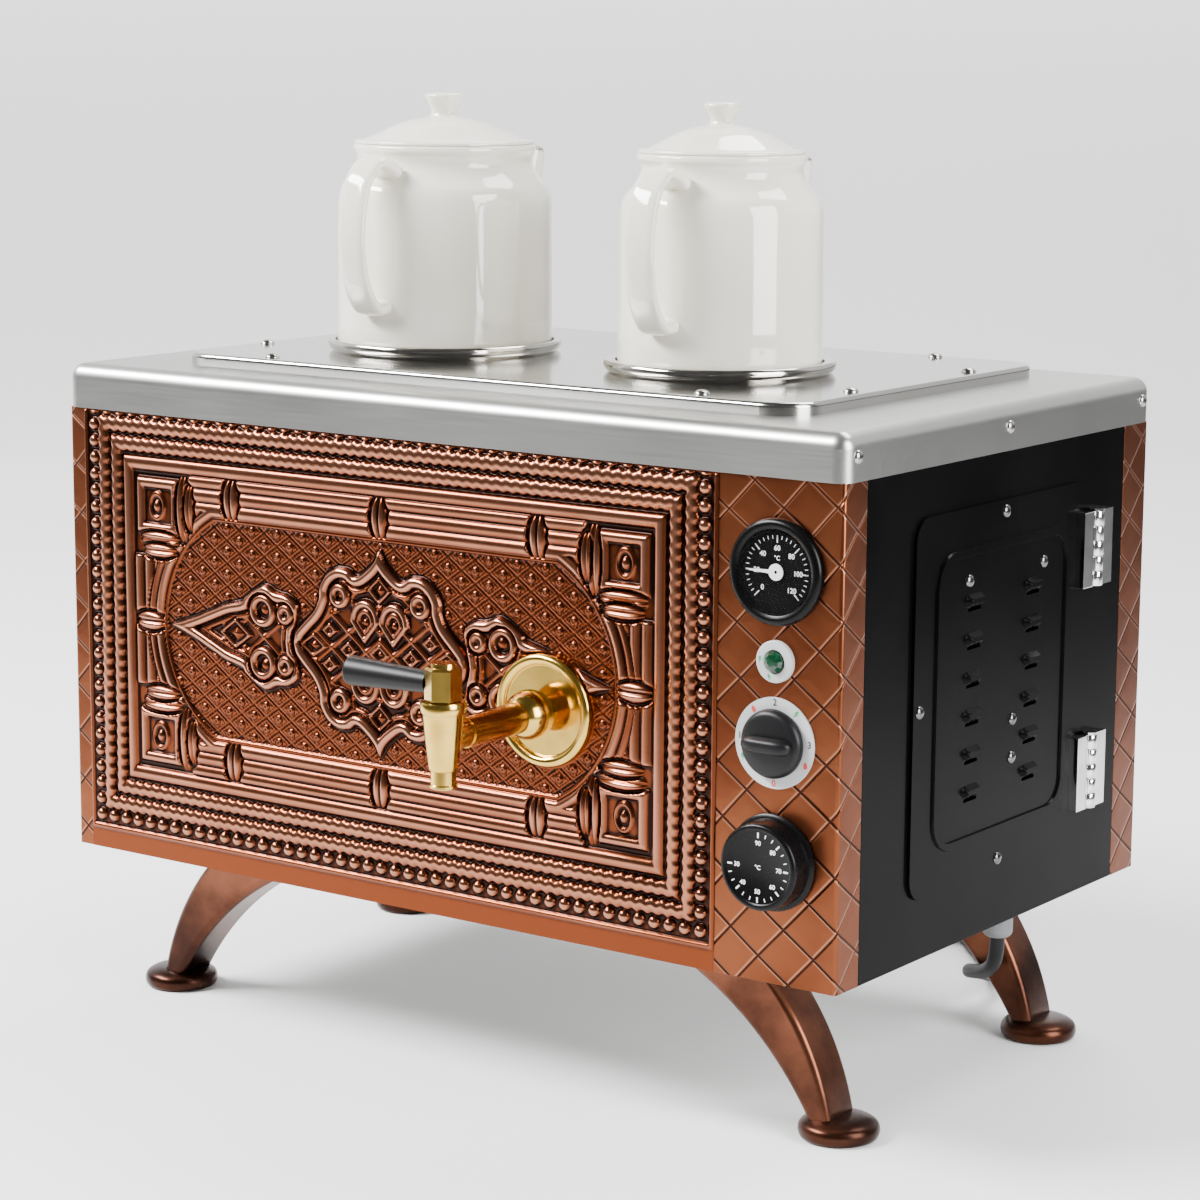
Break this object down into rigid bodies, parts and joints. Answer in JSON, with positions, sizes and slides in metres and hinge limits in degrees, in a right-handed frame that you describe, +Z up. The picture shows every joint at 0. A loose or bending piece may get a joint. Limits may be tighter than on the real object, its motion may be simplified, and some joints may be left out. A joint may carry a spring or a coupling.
{
  "type": "tea boiler",
  "caption": "Tabletop tea boiler: embossed copper cabinet on splayed legs with a drain tap, control strip, side service door and lidded white teapots on its tank cover.",
  "frame": {"origin": "on the floor under the middle of the cabinet", "axes": "+X to the user's right, +Y to the back of the boiler, +Z up; the embossed front faces -Y"},
  "size_m": [0.5125, 0.5758, 0.5085],
  "materials": {
    "embossed_copper": "antique two-tone copper, bright on the ridges",
    "quilted_copper": "satin copper with an embossed diamond quilt",
    "black_coat": "satin black powder coat",
    "stainless": "brushed stainless steel",
    "bright_stainless": "polished stainless steel",
    "tank_steel": "mill-finish stainless steel",
    "zinc_steel": "zinc-plated steel",
    "chrome": "bright chrome plate",
    "brass": "polished brass",
    "burner_iron": "cast iron",
    "white_glaze": "glossy ivory-white glaze",
    "black_plastic": "moulded black plastic",
    "grey_plastic": "matt grey plastic",
    "antique_copper": "browned antique copper plate on castings",
    "dial_black": "black dial printed in white",
    "white_print": "white print or white moulded plastic",
    "label_plate": "pale printed metal plate",
    "clear_glass": "clear flat glass",
    "lamp_lens": "clear green lens",
    "seal_rubber": "silicone rubber",
    "cord_black": "black flexible cable sheath"
  },
  "bodies": {
    "cabinet": {"front_panel": "embossed_copper", "control_panel": "quilted_copper", "front_left_corner": "quilted_copper", "rear_corners": "quilted_copper", "right_panel": "black_coat", "left_panel": "black_coat", "back_panel": "black_coat", "legs": "antique_copper", "feet": "antique_copper", "top_tray": "stainless", "tank_cover": "bright_stainless", "pot_ring_left": "bright_stainless", "pot_ring_right": "bright_stainless", "water_tank": "tank_steel", "base_pan": "tank_steel", "heating_element": "tank_steel", "tray_screws": "zinc_steel", "cover_screws": "zinc_steel", "leg_bolts": "zinc_steel", "hinge_frame_leaves": "chrome", "hinge_pins": "chrome", "tap_rosette": "brass", "tap_pipe": "brass", "tap_locknut": "brass", "tap_body": "brass", "gas_pipe": "brass", "gas_inlet": "brass", "burner": "burner_iron", "thermometer_case": "black_plastic", "selector_switch": "black_plastic", "thermostat_body": "black_plastic", "cable_gland": "grey_plastic", "thermometer_dial": "dial_black", "pilot_bezel": "white_print", "selector_plate": "label_plate", "thermometer_glass": "clear_glass", "pilot_lens": "lamp_lens", "cover_gasket": "seal_rubber", "cord_run": "cord_black", "cord_coil": "cord_black", "cord_tie": "cord_black", "mains_plug": "cord_black"},
    "tap_handle": {"tap_plug": "brass", "tap_lever": "brass", "tap_grip": "black_plastic"},
    "selector": {"selector_knob": "black_plastic"},
    "thermostat": {"thermostat_knob": "black_plastic"},
    "pointer": {"thermometer_pointer": "white_print"},
    "side_door": {"door": "black_coat", "door_liner": "tank_steel", "door_screws": "zinc_steel", "hinge_door_leaves": "chrome"},
    "pot_left": {"teapot_left": "white_glaze", "teapot_handle_left": "white_glaze", "teapot_spout_left": "white_glaze"},
    "pot_right": {"teapot_right": "white_glaze", "teapot_handle_right": "white_glaze", "teapot_spout_right": "white_glaze"},
    "lid_left": {"pot_lid_left": "white_glaze"},
    "lid_right": {"pot_lid_right": "white_glaze"}
  },
  "joints": [
    {"name": "tap_turn", "type": "hinge", "parent": "cabinet", "child": "tap_handle", "pos_m": [0.0775, -0.2385, 0.2265], "axis": [0, 0, 1], "range_deg": [0, 90]},
    {"name": "selector_turn", "type": "hinge", "parent": "cabinet", "child": "selector", "pos_m": [0.2138, -0.1555, 0.2093], "axis": [0, 1, 0], "range_deg": [0, 270]},
    {"name": "thermostat_turn", "type": "hinge", "parent": "cabinet", "child": "thermostat", "pos_m": [0.2138, -0.1555, 0.1508], "axis": [0, 1, 0], "range_deg": [0, 270]},
    {"name": "pointer_turn", "type": "hinge", "parent": "cabinet", "child": "pointer", "pos_m": [0.2138, -0.1555, 0.2922], "axis": [0, 1, 0], "range_deg": [-45, 225]},
    {"name": "door_swing", "type": "hinge", "parent": "cabinet", "child": "side_door", "pos_m": [0.2555, 0.0885, 0.2169], "axis": [0, 0, 1], "range_deg": [0, 110]},
    {"name": "pot_left_lift", "type": "slide", "parent": "cabinet", "child": "pot_left", "axis": [0, 0, 1], "range_m": [0, 0.15]},
    {"name": "pot_right_lift", "type": "slide", "parent": "cabinet", "child": "pot_right", "axis": [0, 0, 1], "range_m": [0, 0.15]},
    {"name": "lid_left_lift", "type": "slide", "parent": "pot_left", "child": "lid_left", "axis": [0, 0, 1], "range_m": [0, 0.06]},
    {"name": "lid_right_lift", "type": "slide", "parent": "pot_right", "child": "lid_right", "axis": [0, 0, 1], "range_m": [0, 0.06]}
  ]
}
